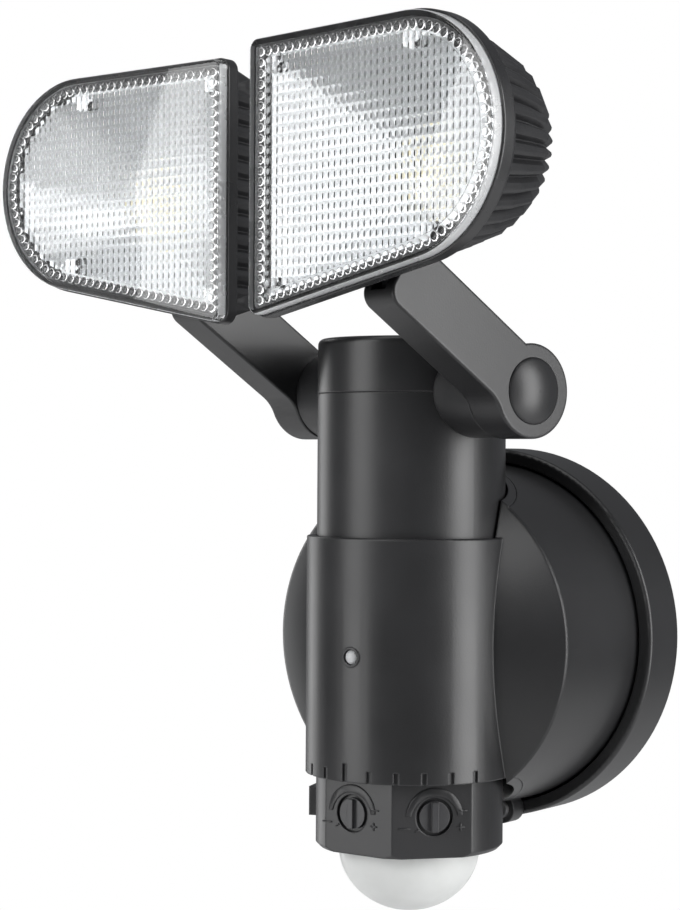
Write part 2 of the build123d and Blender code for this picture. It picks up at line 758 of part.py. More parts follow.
def sink_body():
    # tapering body with its rounded rear edge
    sections = [head_outline(inset, y, max(head_corner - inset, 1.0)) for inset, y in sink_profile]
    return loft(sections, ruled=True)


def rib_groove():
    # cutter between two rounded ribs: x outwards from the front outline, y rearwards, z along it
    front_inset, front_y = sink_profile[0]
    next_inset, next_y = sink_profile[1]
    start_y = front_y + rib_start
    start_inset = front_inset + (next_inset - front_inset) * rib_start / (next_y - front_y)
    floor = ((start_inset, start_y),) + sink_profile[1:]
    beyond = sink_profile[-1][1] + 2
    sections = []
    for share, depth in ((-1, rib_lead), (-0.5, rib_shoulder), (0, rib_groove_depth),
                         (0.5, rib_shoulder), (1, rib_lead)):
        points = [(front_inset - inset - depth, y) for inset, y in floor]
        points += [(points[-1][0], beyond), (rib_groove_half, beyond), (rib_groove_half, start_y)]
        flat = Polyline([(x, y, share * rib_groove_half) for x, y in points], close=True)
        sections.append(make_face(flat))
    return loft(sections, ruled=True)


def rib_spots():
    # places along the front outline and the direction outwards at each
    inset = sink_profile[0][0]
    low = low_corner(inset)
    top = head_half_height - inset
    arc_low = arc_point(inset, head_taper - 90)
    runs = (((inset, low), (inset, top), 180.0), ((inset, top), (arc_x, top), 90.0),
            ((inset, low), arc_low, head_taper - 90.0))
    spots = []
    for (x0, z0), (x1, z1), outward in runs:
        length = ((x1 - x0) ** 2 + (z1 - z0) ** 2) ** 0.5
        count = int((length - rib_pitch) / rib_pitch)
        for index in range(count):
            share = 0.5 + (index - (count - 1) / 2) * rib_pitch / length
            spots.append((x0 + share * (x1 - x0), z0 + share * (z1 - z0), outward))
    sweep = 180 - head_taper
    count = int(radians(sweep) * (arc_radius - inset) / rib_pitch)
    for index in range(count):
        angle = head_taper - 90 + (index + 0.5) * sweep / count
        spots.append((*arc_point(inset, angle), angle))
    return spots


def rear_grooves():
    # upright grooves between the fins of the rear face
    rear_inset, rear_y = sink_profile[-1]
    zone = head_prism(rear_inset + fin_border, fin_root_y, rear_y + 1, 1.0)
    count = int((head_length - 2 * rear_inset) / fin_pitch)
    first = head_length / 2 - (count - 1) * fin_pitch / 2
    places = [first + index * fin_pitch for index in range(count)]
    return [zone & block(x - fin_gap / 2, x + fin_gap / 2, fin_root_y, rear_y + 1, -60, 60) for x in places]


def heat_sink():
    outside = sink_body()
    groove = rib_groove()
    body = outside - [Pos(x, 0, z) * Rot(0, -outward, 0) * groove for x, z, outward in rib_spots()]
    body -= rear_grooves()
    body += (pin_spot * cyl(post_boss_radius, 0, post_height + 3)) & outside
    body -= head_prism(sink_mouth_inset, 0, sink_mouth_y, 1.5)
    body -= head_prism(sink_cavity_inset, 0, sink_floor_y, 1.5)
    body += (pin_spot * Sphere(pocket_radius + pocket_wall)) & outside
    for x, z in screw_spots():
        body += cyl_y(sink_boss, bezel_depth, head_screw_seat_y + 4, x, z) & outside
    half_width, height = pocket_slot
    body -= pin_spot * Sphere(pocket_radius)
    body -= pin_spot * block(-half_width, half_width, 0, 30, -30, height)
    body -= pin_spot * cyl(post_flange_radius + slip_gap, 0, post_flange_top + seat_gap)
    body -= pin_spot * cyl(post_radius + running_gap, 0, post_height + slip_gap)
    body -= pin_spot * cyl_y(grub_radius, 0, 20, 0, post_groove_z)
    for x, z in screw_spots():
        body -= cyl_y(head_screw_radius + seat_gap, bezel_depth - 1, sink_profile[-1][1] + 1, x, z)
        body -= cyl_y(head_screw_head + seat_gap, head_screw_seat_y, sink_profile[-1][1] + 1, x, z)
    return body


def swivel_screw():
    tip = post_radius - post_groove_depth + slip_gap
    body = cyl_y(grub_radius - running_gap, tip, tip + grub_length, 0, post_groove_z)
    head = tip + grub_length
    body -= block(-0.3, 0.3, head - 0.8, head + 1, post_groove_z - 2, post_groove_z + 2)
    return pin_spot * body


def head_screws():
    group = []
    for x, z in screw_spots():
        tip = head_boss_front_y + 2 * head_screw_tip_gap
        seat = head_screw_seat_y
        shank = cyl_y(head_screw_radius - running_gap, tip, seat, x, z)
        head = cyl_y(head_screw_head, seat, seat + head_screw_head_height, x, z)
        group.append(shank + head - block(x - 1.6, x + 1.6, seat + 1.2, seat + 3, z - 0.3, z + 0.3))
    return Compound(children=group)


def bowl(grow):
    # flat-sided funnel from the lens border down to the light engine
    inset = reflector_inset - grow
    rear_y = sink_floor_y - board_thickness - face_gap
    angles = [90 - step * (180 - head_taper) / reflector_steps for step in range(reflector_steps + 1)]
    front = [(inset, low_corner(inset)), (inset, head_half_height - inset)]
    front += [arc_point(inset, angle) for angle in angles]
    left = engine_u - engine_width / 2 - grow
    right = engine_u + engine_width / 2 + grow
    half = engine_height / 2 + grow
    right_low = -half + (right - left) * tan(taper)
    rear = [(left, -half), (left, half)]
    drop = (right_low - half) / reflector_steps
    rear += [(right, half + step * drop) for step in range(reflector_steps + 1)]
    mouth = make_face(Polyline([(x, reflector_front_y, z) for x, z in front], close=True))
    throat = make_face(Polyline([(x, rear_y, z) for x, z in rear], close=True))
    return loft([mouth, throat], ruled=True)


def reflector():
    body = bowl(reflector_wall) - bowl(0)
    for x, z in screw_spots():
        body -= cyl_y(sink_boss + slip_gap, head_boss_front_y - slip_gap, head_screw_seat_y + 5, x, z)
    return body


def led_board():
    w = engine_width / 2 + engine_margin
    h = engine_height / 2 + engine_margin
    return block(engine_u - w, engine_u + w, sink_floor_y - board_thickness, sink_floor_y, -h, h)


def led_chips():
    face = sink_floor_y - board_thickness
    group = []
    for dx, dz in ((0, 0), (1, 0), (-1, 0), (0, 1), (0, -1)):
        x = engine_u + dx * chip_step
        z = dz * (chip_step + 1)
        group.append(block(x - chip_size / 2, x + chip_size / 2, face - chip_height, face,
                           z - chip_size / 2, z + chip_size / 2))
    return Compound(children=group)


# ---- sensor head -----------------------------------------------------------------------------
panel_distance = sensor_radius * cos(radians(sensor_panel_half))
sensor_bore = panel_distance - sensor_panel_floor
dial_angles = (sensor_edge_angle - sensor_panel_half, sensor_edge_angle + sensor_panel_half)
sensor_spigot = shelf_bore - slip_gap
flange_seat = sensor_bottom + sensor_floor
board_z = flange_seat + pir_flange_thickness + face_gap


def dial_frame(index):
    # z outwards along the panel's normal, origin on the panel's face
    turn = axis_frame * Rot(0, 0, dial_angles[index]) * Pos(dial_shifts[index], -panel_distance, dial_z)
    return turn * Rot(90, 0, 0)


def sensor_cap():
    body = cyl(sensor_radius, sensor_bottom, sensor_top)
    body = chamfer(body.edges().group_by(Axis.Z)[0], sensor_chamfer)
    for angle in dial_angles:
        flat = block(-20, 20, -sensor_radius - 5, -panel_distance, sensor_bottom - 1, collar_bottom)
        body -= Rot(0, 0, angle) * flat
    body += Rot(0, 0, tab_angle) * block(-tab_width / 2, tab_width / 2, -sensor_radius - tab_reach,
                                         -sensor_radius + 1, dial_z - tab_height / 2, dial_z + tab_height / 2)
    body -= cyl(sensor_bore, flange_seat, sensor_top + 1)
    body -= cyl(pir_radius + seat_gap, sensor_bottom - 1, sensor_top)
    body = axis_frame * body
    for index in range(2):
        body -= dial_frame(index) * cyl(dial_recess_radius, -dial_recess_depth, 1)
        body -= dial_frame(index) * cyl(dial_shaft_radius + slip_gap, -10, 1)
    return body


def sensor_neck():
    inner = sensor_spigot - sensor_neck_width
    body = ring(sensor_radius - 2, inner, sensor_top, neck_top)
    body += ring(sensor_bore - seat_gap, inner, sensor_top - 2, sensor_top)
    body += ring(sensor_spigot, inner, sensor_top, lower_shelf + shelf_thickness + face_gap)
    for spot in third_spots(sensor_screw_circle):
        body -= spot * cyl(small_screw_radius + running_gap, sensor_top - 1.5, sensor_top + 20)
    return axis_frame * body


def sensor_retainer():
    low = lower_shelf + shelf_thickness + face_gap
    body = ring(sensor_radius - 2, sensor_spigot - sensor_neck_width, low, low + retainer_thickness)
    for spot in third_spots(sensor_screw_circle):
        body -= spot * cyl(small_screw_radius + seat_gap, low - 1, low + 10)
    return axis_frame * body


def sensor_screws():
    group = []
    seat = lower_shelf + shelf_thickness + face_gap + retainer_thickness
    for spot in third_spots(sensor_screw_circle):
        screw = cyl(small_screw_radius, sensor_top - 1, seat)
        screw += cyl(small_screw_head, seat, seat + small_head_height)
        group.append(axis_frame * spot * screw)
    return Compound(children=group)


def pir_lens():
    height = sensor_bottom - pir_bottom
    outer = scale(Sphere(pir_radius), by=(1, 1, height / pir_radius))
    inner_radius = pir_radius - pir_wall
    inner = scale(Sphere(inner_radius), by=(1, 1, (height - pir_wall) / inner_radius))
    below = cyl(pir_radius + 1, -height - 5, 0)
    top = sensor_floor + pir_flange_thickness
    body = (outer & below) + cyl(pir_radius, 0, top)
    body += cyl(pir_radius + pir_flange, sensor_floor, top)
    body -= inner & below
    body -= cyl(inner_radius, -0.01, top + 1)
    return axis_frame * Pos(0, 0, sensor_bottom) * body


def sensor_board():
    disc = cyl(sensor_bore - slip_gap, board_z, board_z + sensor_board_thickness)
    return axis_frame * (disc - cyl(3, board_z - 1, board_z + 3))


def pyro_sensor():
    can = cyl(pyro_radius, board_z - pyro_height, board_z) + cyl(pyro_radius + 0.6, board_z - 0.8, board_z)
    return axis_frame * Pos(0, -pyro_offset, 0) * can


def trimmers():
    group = []
    front = -(panel_distance - sensor_bore) - 1
    for index in range(2):
        case = cyl(trimmer_radius, front - trimmer_depth, front)
        leg_low = board_z + sensor_board_thickness - dial_z
        case += block(-3, 3, leg_low, -2, front - trimmer_depth + 0.5, front - 1.5)
        case -= cyl(dial_shaft_radius + running_gap, front - trimmer_depth - 1, front + 1)
        group.append(dial_frame(index) * case)
    return Compound(children=group)


def dial():
    # knob in its own frame: z outwards, origin on the panel's face
    body = cyl(dial_radius, -dial_recess_depth + face_gap, 0)
    body += block(-dial_blade_width / 2, dial_blade_width / 2, -dial_radius + 0.3, dial_radius - 0.3,
                  -0.5, dial_blade_height)
    shaft_end = -(panel_distance - sensor_bore) - 1 - dial_shaft_length
    return body + cyl(dial_shaft_radius, shaft_end, -dial_recess_depth + 0.5)


# ---- write every node ------------------------------------------------------------------------
def save_side(side, word):
    def flip(shape):
        return shape if side > 0 else mirror(shape, Plane.YZ)

    save("arm_hub_" + word, pivot_frame * flip(arm_hub()))
    save("arm_" + word, arm_frame(side) * arm(side))
    save("arm_button_" + word, arm_frame(side) * flip(Pos(arm_thickness / 2, 0, 0) * arm_button()))
    save("knuckle_pin_" + word, arm_frame(side) * Pos(0, 0, arm_reach) * knuckle_pin(side))
    save("knuckle_" + word, knuckle_frame(side) * knuckle())


def save_heads():
    # modelled once for the right, the left head is its mirror image
    for make in (clear_lens, lens_gasket, bezel, heat_sink, head_screws, swivel_screw, reflector,
                 led_board, led_chips):
        piece = make()
        save(make.__name__ + "_right", head_frame(1) * piece)
        save(make.__name__ + "_left", head_frame(-1) * mirror(piece, Plane.YZ))


def save_pairs():
    # identical fasteners of both arms, one group each
    for name, make in (("tilt_bolts", tilt_bolt), ("tilt_washers", tilt_washer),
                       ("friction_rings", friction_ring)):
        right = pivot_frame * make()
        left = pivot_frame * mirror(make(), Plane.YZ)
        save(name, Compound(children=[right, left]))


def save_base():
    for make in (wall_plate, wall_gasket, cable_grommet, rear_housing, lock_screw, front_housing,
                 housing_screws, turret_seal, photocell_lens, photocell_board, terminal_block,
                 driver_board, driver_parts, board_screws):
        save(make.__name__, make())


def save_turret():
    for make in (turret_tube, turret_cap, cap_screws, turret_retainer, retainer_screws):
        save(make.__name__, turret_frame * make())


def save_sensor():
    for make in (sensor_cap, sensor_neck, sensor_retainer, sensor_screws, pir_lens, sensor_board,
                 pyro_sensor, trimmers):
        save(make.__name__, make())
    save("light_dial", dial_frame(0) * dial())
    save("time_dial", dial_frame(1) * dial())


os.makedirs("parts", exist_ok=True)
save_base()
save_turret()
save_pairs()
save_side(1, "right")
save_side(-1, "left")
save_heads()
save_sensor()
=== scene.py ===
import json
from math import cos, pi, radians, sin

import bpy
from mathutils import Matrix, Vector


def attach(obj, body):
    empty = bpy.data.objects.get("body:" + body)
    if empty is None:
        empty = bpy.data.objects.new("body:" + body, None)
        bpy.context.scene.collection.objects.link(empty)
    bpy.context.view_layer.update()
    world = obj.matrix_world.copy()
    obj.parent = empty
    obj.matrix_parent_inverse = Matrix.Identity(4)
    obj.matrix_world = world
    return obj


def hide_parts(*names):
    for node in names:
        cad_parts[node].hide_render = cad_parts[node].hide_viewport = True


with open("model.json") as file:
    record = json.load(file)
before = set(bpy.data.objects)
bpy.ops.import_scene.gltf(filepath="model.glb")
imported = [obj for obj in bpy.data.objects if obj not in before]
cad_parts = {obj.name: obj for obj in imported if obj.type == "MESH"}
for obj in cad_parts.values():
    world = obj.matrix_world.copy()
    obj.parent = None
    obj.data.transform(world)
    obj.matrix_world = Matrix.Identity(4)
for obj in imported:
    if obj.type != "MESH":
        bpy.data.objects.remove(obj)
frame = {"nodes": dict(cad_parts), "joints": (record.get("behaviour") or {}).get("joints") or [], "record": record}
nodes = frame["nodes"]
joints = {joint["name"]: joint for joint in frame["joints"]}
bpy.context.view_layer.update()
mm = 0.001
overCut = 1  # how far a cutting piece runs past what it cuts, in mm
facingFront = 0.9  # least forward share of a front face's normal
print("frame loaded,", len(nodes), "nodes")


def clearSelection():
    if bpy.context.object and bpy.context.object.mode != "OBJECT":
        bpy.ops.object.mode_set(mode="OBJECT")
    bpy.ops.object.select_all(action="DESELECT")


def takeHold(piece):
    clearSelection()
    piece.select_set(True)
    bpy.context.view_layer.objects.active = piece


def named(name):
    piece = bpy.context.object
    piece.name = name
    piece.data.name = name
    return piece


def freeze(piece):
    # place, turn and scale go into the mesh
    takeHold(piece)
    bpy.ops.object.transform_apply(location=True, rotation=True, scale=True)
    return piece


def applyModifiers(piece):
    takeHold(piece)
    for modifier in list(piece.modifiers):
        bpy.ops.object.modifier_apply(modifier=modifier.name)


def joinPieces(pieces, name):
    clearSelection()
    for piece in pieces:
        piece.select_set(True)
    bpy.context.view_layer.objects.active = pieces[0]
    if len(pieces) > 1:
        bpy.ops.object.join()
    return named(name)


def copyOf(piece, name):
    # a copy with its own mesh
    takeHold(piece)
    bpy.ops.object.duplicate(linked=False)
    return named(name)


def pick(piece, kind, test):
    # selects the vertices or polygons that pass the test, then enters edit mode
    takeHold(piece)
    mesh = piece.data
    bpy.context.tool_settings.mesh_select_mode = (kind == "vertices", False, kind == "polygons")
    for part in (*mesh.vertices, *mesh.edges, *mesh.polygons):
        part.select = False
    for part in getattr(mesh, kind):
        part.select = test(part)
    bpy.ops.object.mode_set(mode="EDIT")


def boolean(piece, tool, operation):
    modifier = piece.modifiers.new("cut", "BOOLEAN")
    modifier.operation = operation
    modifier.solver = "EXACT"
    modifier.object = tool
    applyModifiers(piece)
    bpy.data.objects.remove(tool)
    return piece


def softEdges(piece, width, segments=2, angle=35):
    modifier = piece.modifiers.new("softEdges", "BEVEL")
    modifier.width = width
    modifier.segments = segments
    modifier.limit_method = "ANGLE"
    modifier.angle_limit = radians(angle)
    applyModifiers(piece)


def smooth(piece, angle):
    takeHold(piece)
    bpy.ops.object.shade_smooth_by_angle(angle=radians(angle))


def moveMesh(piece, matrix):
    # a mirrored matrix turns the faces inside out, so they are turned back
    piece.data.transform(matrix)
    if matrix.determinant() < 0:
        piece.data.flip_normals()


# camera at the photograph's place and angle, in metres and degrees
photoCamera = {"place": (0.38718, -0.65257, 0.05760), "yaw": -35.12, "pitch": -0.01, "roll": 0.36,
               "lens": 89.72, "sensor": 36.0, "nearest": 0.01}


def addCamera():
    yaw, pitch, roll = (radians(photoCamera[key]) for key in ("yaw", "pitch", "roll"))
    forward = Vector((sin(yaw) * cos(pitch), cos(yaw) * cos(pitch), sin(pitch)))
    level = Vector((cos(yaw), -sin(yaw), 0))
    upright = level.cross(forward)
    right = level * cos(roll) + upright * sin(roll)
    up = upright * cos(roll) - level * sin(roll)
    bpy.ops.object.camera_add(location=photoCamera["place"])
    camera = bpy.context.object
    camera.rotation_euler = Matrix((right, up, -forward)).transposed().to_euler()
    camera.data.sensor_fit = "AUTO"
    camera.data.sensor_width = photoCamera["sensor"]
    camera.data.lens = photoCamera["lens"]
    camera.data.clip_start = photoCamera["nearest"]
    bpy.context.scene.camera = camera


def addNode(tree, kind, place, inputs={}, **settings):
    node = tree.nodes.new(kind)
    node.location = place
    for name, value in settings.items():
        setattr(node, name, value)
    for label, value in inputs.items():
        node.inputs[label].default_value = value
    return node


def feed(tree, source, output, target, entry):
    tree.links.new(source.outputs[output], target.inputs[entry])


# the lamps stand round the light, sizes in metres and power in watts
studio = {"ambient": (0.86, 0.88, 0.92, 1), "ambientPower": 0.20, "white": (1, 1, 1, 1),
          "throughPlastic": 0.86, "floorHeight": -0.6, "floorSize": 12.0,
          "floorColour": (0.82, 0.82, 0.82, 1), "lampTarget": (0, -0.06, 0.02)}
lamps = {
    "leftStrip": {"place": (-0.85, -1.57, 0.15), "size": (0.9, 1.9), "power": 21},
    "rightStrip": {"place": (1.68, 0.20, 0.25), "size": (0.9, 1.9), "power": 42},
    "backStrip": {"place": (-1.66, 0.28, 0.15), "size": (0.7, 1.9), "power": 9},
    "frontLamp": {"place": (0.10, -1.80, 0.95), "size": (1.1, 0.7), "power": 10},
    "topLamp": {"place": (-0.10, -0.55, 1.7), "size": (1.4, 1.2), "power": 9},
}


def whiteToCamera(tree, plain, white, output):
    # camera rays and rays through clear plastic see white, a little dimmer through plastic;
    # all others see the plain shader
    path = addNode(tree, "ShaderNodeLightPath", (-900, 300))
    direct = addNode(tree, "ShaderNodeMath", (-700, 300), operation="MAXIMUM")
    level = addNode(tree, "ShaderNodeMapRange", (-700, 100), {"To Min": studio["throughPlastic"]})
    mix = addNode(tree, "ShaderNodeMixShader", (-100, 50))
    feed(tree, path, "Is Camera Ray", direct, 0)
    feed(tree, path, "Is Transmission Ray", direct, 1)
    feed(tree, path, "Is Camera Ray", level, "Value")
    feed(tree, level, 0, white, "Strength")
    feed(tree, direct, 0, mix, 0)
    feed(tree, plain, 0, mix, 1)
    feed(tree, white, 0, mix, 2)
    feed(tree, mix, 0, output, "Surface")


def addWorld():
    world = bpy.data.worlds.new("studioAir")
    bpy.context.scene.world = world
    world.use_nodes = True
    tree = world.node_tree
    tree.nodes.clear()
    ambient = addNode(tree, "ShaderNodeBackground", (-300, 100),
                      {"Color": studio["ambient"], "Strength": studio["ambientPower"]})
    white = addNode(tree, "ShaderNodeBackground", (-300, -50), {"Color": studio["white"]})
    output = addNode(tree, "ShaderNodeOutputWorld", (100, 50))
    whiteToCamera(tree, ambient, white, output)


def addFloor():
    bpy.ops.mesh.primitive_plane_add(size=studio["floorSize"], location=(0, 0, studio["floorHeight"]))
    floor = named("floor")
    material = bpy.data.materials.new("paleFloor")
    material.use_nodes = True
    tree = material.node_tree
    tree.nodes.clear()
    matte = addNode(tree, "ShaderNodeBsdfDiffuse", (-300, 100), {"Color": studio["floorColour"]})
    glow = addNode(tree, "ShaderNodeEmission", (-300, -50), {"Color": studio["white"]})
    output = addNode(tree, "ShaderNodeOutputMaterial", (100, 50))
    whiteToCamera(tree, matte, glow, output)
    floor.data.materials.append(material)


def addLamps():
    target = Vector(studio["lampTarget"])
    for name, lamp in lamps.items():
        place = Vector(lamp["place"])
        bpy.ops.object.light_add(type="AREA", location=place)
        light = bpy.context.object
        light.name = name
        light.rotation_euler = (target - place).to_track_quat("-Z", "Y").to_euler()
        light.data.shape = "RECTANGLE"
        light.data.size, light.data.size_y = lamp["size"]
        light.data.energy = lamp["power"]


# effects that several finishes share
effectLook = {"fineDetail": 3.0, "wideDetail": 4.0, "wideRoughness": 0.55, "mottleFrom": 0.32, "mottleTo": 0.68,
              "edgeSamples": 6, "edgeFrom": 0.98, "edgeTo": 0.72, "lineDetail": 2.0}


def newGroup(name, inputs, outputs):
    group = bpy.data.node_groups.new(name, "ShaderNodeTree")
    for label, value in inputs:
        socket = group.interface.new_socket(name=label, in_out="INPUT", socket_type="NodeSocketFloat")
        socket.default_value = value
    for label, kind in outputs:
        group.interface.new_socket(name=label, in_out="OUTPUT", socket_type=kind)
    entry = addNode(group, "NodeGroupInput", (-900, 0))
    leave = addNode(group, "NodeGroupOutput", (500, 0))
    return group, entry, leave


def makeGrain():
    # fine moulded grain as a height, and wide soft mottling as a mask
    group, entry, leave = newGroup(
        "mouldedGrain", [("Grain Scale", 1500.0), ("Mottle Scale", 30.0)],
        [("Height", "NodeSocketFloat"), ("Mottle", "NodeSocketFloat")])
    place = addNode(group, "ShaderNodeTexCoord", (-900, 300))
    fine = addNode(group, "ShaderNodeTexNoise", (-500, 250), {"Detail": effectLook["fineDetail"]})
    wide = addNode(group, "ShaderNodeTexNoise", (-500, -50),
                   {"Detail": effectLook["wideDetail"], "Roughness": effectLook["wideRoughness"]})
    spread = addNode(group, "ShaderNodeMapRange", (-200, -50),
                     {"From Min": effectLook["mottleFrom"], "From Max": effectLook["mottleTo"]})
    feed(group, place, "Object", fine, "Vector")
    feed(group, place, "Object", wide, "Vector")
    feed(group, entry, "Grain Scale", fine, "Scale")
    feed(group, entry, "Mottle Scale", wide, "Scale")
    feed(group, wide, 0, spread, "Value")
    feed(group, fine, 0, leave, "Height")
    feed(group, spread, 0, leave, "Mottle")
    return group


def makeEdges():
    # rounded normal near edges, and a mask that is 1 along them
    group, entry, leave = newGroup(
        "roundedEdges", [("Radius", 0.0005)],
        [("Normal", "NodeSocketVector"), ("Edge", "NodeSocketFloat")])
    bevel = addNode(group, "ShaderNodeBevel", (-600, 0), samples=effectLook["edgeSamples"])
    plain = addNode(group, "ShaderNodeNewGeometry", (-600, -250))
    dot = addNode(group, "ShaderNodeVectorMath", (-350, -150), operation="DOT_PRODUCT")
    turn = addNode(group, "ShaderNodeMapRange", (-100, -150),
                   {"From Min": effectLook["edgeFrom"], "From Max": effectLook["edgeTo"]})
    feed(group, entry, "Radius", bevel, "Radius")
    feed(group, bevel, 0, dot, 0)
    feed(group, plain, "Normal", dot, 1)
    feed(group, dot, "Value", turn, "Value")
    feed(group, bevel, 0, leave, "Normal")
    feed(group, turn, 0, leave, "Edge")
    return group


def makeScratches():
    # fine lines drawn out along one direction, as on brushed or turned metal
    group, entry, leave = newGroup(
        "drawnLines", [("Scale", 400.0), ("Stretch", 12.0)], [("Height", "NodeSocketFloat")])
    place = addNode(group, "ShaderNodeTexCoord", (-900, 300))
    longWay = addNode(group, "ShaderNodeCombineXYZ", (-700, 0), {"Y": 1.0, "Z": 1.0})
    scaled = addNode(group, "ShaderNodeVectorMath", (-500, 100), operation="MULTIPLY")
    lines = addNode(group, "ShaderNodeTexNoise", (-250, 100), {"Detail": effectLook["lineDetail"]})
    feed(group, entry, "Stretch", longWay, "X")
    feed(group, place, "Object", scaled, 0)
    feed(group, longWay, 0, scaled, 1)
    feed(group, scaled, 0, lines, "Vector")
    feed(group, entry, "Scale", lines, "Scale")
    feed(group, lines, 0, leave, "Height")
    return group


effects = {"grain": makeGrain(), "edges": makeEdges(), "lines": makeScratches()}
print("shared effects ready")


# Colour and lift are the darker and lighter tone of the mottling, and rough its two roughness limits.
# Bump is a strength and a depth in metres. Edge is the radius of the rounded edges, in metres; along them the edge
# colour is mixed in, which is a lighter tone painted as a highlight, except on the two boards, where it is their
# own edge tone.
finishes = {
    "cover_plastic": {"colour": (0.011, 0.011, 0.0115), "lift": (0.015, 0.015, 0.016), "rough": (0.31, 0.38),
                      "mottle": 26, "grain": 1700, "bump": (0.6, 0.00004), "edge": 0.0007,
                      "edgeToneAndHighlight": (0.034, 0.034, 0.036), "shader": {"Specular IOR Level": 0.45}},
    "bezel_plastic": {"colour": (0.014, 0.014, 0.015), "lift": (0.020, 0.020, 0.021), "rough": (0.24, 0.32),
                      "mottle": 30, "grain": 1400, "bump": (0.6, 0.00002), "edge": 0.0005,
                      "edgeToneAndHighlight": (0.04, 0.04, 0.042), "shader": {"Specular IOR Level": 0.5}},
    "inner_plastic": {"colour": (0.045, 0.045, 0.05), "lift": (0.06, 0.06, 0.066), "rough": (0.45, 0.55),
                      "mottle": 40, "grain": 1200, "bump": (0.6, 0.00004), "edge": 0.0003,
                      "edgeToneAndHighlight": (0.09, 0.09, 0.095), "shader": {"Specular IOR Level": 0.45}},
    "sink_metal": {"colour": (0.012, 0.012, 0.013), "lift": (0.018, 0.018, 0.019), "rough": (0.34, 0.44),
                   "mottle": 35, "grain": 1100, "bump": (0.6, 0.00006), "edge": 0.0006,
                   "edgeToneAndHighlight": (0.05, 0.05, 0.052), "shader": {"Specular IOR Level": 0.5}},
    "knuckle_metal": {"colour": (0.028, 0.028, 0.030), "lift": (0.04, 0.04, 0.042), "rough": (0.36, 0.46),
                      "mottle": 50, "grain": 1000, "bump": (0.6, 0.00006), "edge": 0.0005,
                      "edgeToneAndHighlight": (0.07, 0.07, 0.072), "shader": {"Specular IOR Level": 0.5}},
    "seal_rubber": {"colour": (0.026, 0.026, 0.026), "lift": (0.036, 0.036, 0.036), "rough": (0.72, 0.86),
                    "mottle": 60, "grain": 900, "bump": (0.6, 0.00006), "edge": 0.0003,
                    "edgeToneAndHighlight": (0.05, 0.05, 0.05), "shader": {"Specular IOR Level": 0.3}},
    "part_plastic": {"colour": (0.020, 0.020, 0.022), "lift": (0.028, 0.028, 0.030), "rough": (0.34, 0.44),
                     "mottle": 70, "grain": 1800, "bump": (0.6, 0.00003), "edge": 0.0003,
                     "edgeToneAndHighlight": (0.05, 0.05, 0.052), "shader": {"Specular IOR Level": 0.5}},
    "board_laminate": {"colour": (0.03, 0.15, 0.07), "lift": (0.05, 0.22, 0.11), "rough": (0.30, 0.42),
                       "mottle": 120, "grain": 1500, "bump": (0.6, 0.00003), "edge": 0.0002,
                       "edgeToneAndHighlight": (0.32, 0.34, 0.22), "shader": {"Specular IOR Level": 0.5}},
    "led_board_white": {"colour": (0.80, 0.80, 0.78), "lift": (0.88, 0.88, 0.86), "rough": (0.30, 0.40),
                        "mottle": 90, "grain": 1500, "bump": (0.6, 0.00002), "edge": 0.0002,
                        "edgeToneAndHighlight": (0.70, 0.70, 0.68), "shader": {"Specular IOR Level": 0.5}},
    "led_phosphor": {"colour": (0.86, 0.78, 0.52), "lift": (0.92, 0.86, 0.64), "rough": (0.20, 0.30),
                     "mottle": 500, "grain": 3000, "bump": (0.6, 0.00002), "edge": 0.0002,
                     "edgeToneAndHighlight": (0.92, 0.88, 0.72), "shader": {"Specular IOR Level": 0.5}},
    "screw_steel": {"colour": (0.46, 0.46, 0.47), "lift": (0.60, 0.60, 0.61), "rough": (0.28, 0.42),
                    "mottle": 160, "lines": 900, "stretch": 6, "bump": (0.5, 0.00002),
                    "shader": {"Metallic": 1.0}},
    "sensor_can": {"colour": (0.56, 0.56, 0.56), "lift": (0.66, 0.66, 0.65), "rough": (0.20, 0.32),
                   "mottle": 200, "lines": 1200, "stretch": 3, "bump": (0.5, 0.00001),
                   "shader": {"Metallic": 1.0}},
    "reflector_chrome": {"colour": (0.66, 0.67, 0.68), "lift": (0.75, 0.76, 0.77), "rough": (0.40, 0.48),
                         "mottle": 45, "lines": 160, "stretch": 1, "bump": (0.5, 0.00008),
                         "shader": {"Metallic": 1.0}},
    "lens_clear": {"colour": (0.975, 0.985, 0.99), "lift": (0.99, 0.995, 1.0), "rough": (0.02, 0.05),
                   "mottle": 60, "grain": 900, "bump": (0.3, 0.00001),
                   "shader": {"Transmission Weight": 1.0, "IOR": 1.49}},
    "lens_rim": {"colour": (0.80, 0.81, 0.82), "lift": (0.90, 0.91, 0.92), "rough": (0.22, 0.34),
                 "mottle": 60, "grain": 1100, "bump": (0.3, 0.00002),
                 "shader": {"Transmission Weight": 0.55, "IOR": 1.49}},
    "lens_milky": {"colour": (0.56, 0.57, 0.56), "lift": (0.61, 0.62, 0.61), "rough": (0.34, 0.42),
                   "mottle": 70, "grain": 1300, "bump": (0.4, 0.00002),
                   "shader": {"IOR": 1.50, "Subsurface Weight": 0.6, "Subsurface Radius": (1.0, 1.0, 1.0),
                              "Subsurface Scale": 0.004}},
}
ownFinish = {"photocell_lens": "lens_rim"}  # nodes whose finish isn't the one of their slot


def mixTones(tree, place, darker, lighter):
    return addNode(tree, "ShaderNodeMix", place, {"A": (*darker, 1), "B": (*lighter, 1)}, data_type="RGBA")


